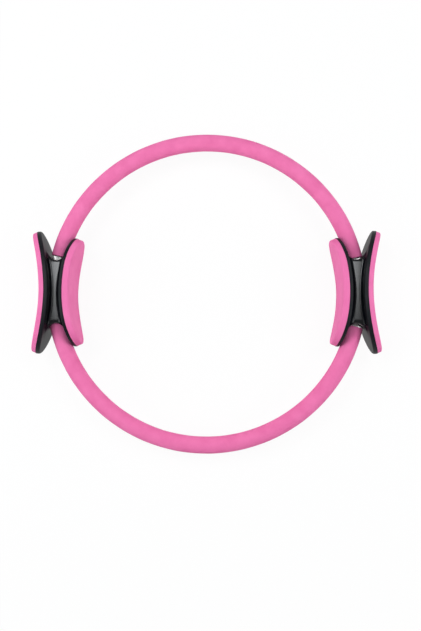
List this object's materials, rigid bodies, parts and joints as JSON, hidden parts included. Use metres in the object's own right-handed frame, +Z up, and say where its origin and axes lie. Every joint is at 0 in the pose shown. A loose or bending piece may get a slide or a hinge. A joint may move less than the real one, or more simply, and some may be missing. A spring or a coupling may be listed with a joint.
{
  "type": "pilates ring",
  "caption": "Springy hoop in a pink foam sleeve with a padded black grip on each side, squeezed or pulled apart as an exercise ring.",
  "frame": {"origin": "on the ground, under the middle of the ring, which lies flat on the edges of its grips", "axes": "+X to the right grip, +Y to the upper half of the hoop, +Z up along the ring's axis"},
  "size_m": [0.3862, 0.3524, 0.063],
  "materials": {
    "sleeve_foam": "satin pink closed-cell foam",
    "pad_foam": "matt pink closed-cell foam",
    "black_plastic": "moulded black plastic, satin to gloss",
    "fibreglass": "off-white pultruded fibreglass",
    "steel": "zinc-plated steel"
  },
  "bodies": {
    "hoop": {"upper_sleeve": "sleeve_foam", "lower_sleeve": "sleeve_foam", "upper_outer_strip": "fibreglass", "upper_inner_strip": "fibreglass", "lower_outer_strip": "fibreglass", "lower_inner_strip": "fibreglass"},
    "left_grip": {"left_outer_shell": "black_plastic", "left_inner_shell": "black_plastic", "left_outer_pad": "pad_foam", "left_inner_pad": "pad_foam", "left_shell_screws": "steel", "left_upper_strip_pin": "steel", "left_lower_strip_pin": "steel"},
    "right_grip": {"right_outer_shell": "black_plastic", "right_inner_shell": "black_plastic", "right_outer_pad": "pad_foam", "right_inner_pad": "pad_foam", "right_shell_screws": "steel", "right_upper_strip_pin": "steel", "right_lower_strip_pin": "steel"}
  },
  "joints": [
    {"name": "left_squeeze", "type": "slide", "parent": "hoop", "child": "left_grip", "axis": [1, 0, 0], "range_m": [-0.01, 0.03], "stiffness_N_per_m": 5200, "deforming": ["upper_sleeve", "lower_sleeve", "upper_outer_strip", "upper_inner_strip", "lower_outer_strip", "lower_inner_strip"]},
    {"name": "right_squeeze", "type": "slide", "parent": "hoop", "child": "right_grip", "axis": [-1, 0, 0], "range_m": [-0.01, 0.03], "stiffness_N_per_m": 5200, "deforming": ["upper_sleeve", "lower_sleeve", "upper_outer_strip", "upper_inner_strip", "lower_outer_strip", "lower_inner_strip"]}
  ],
  "couplings": [
    {"joint": "right_squeeze", "follows": "left_squeeze", "ratio": 1}
  ]
}
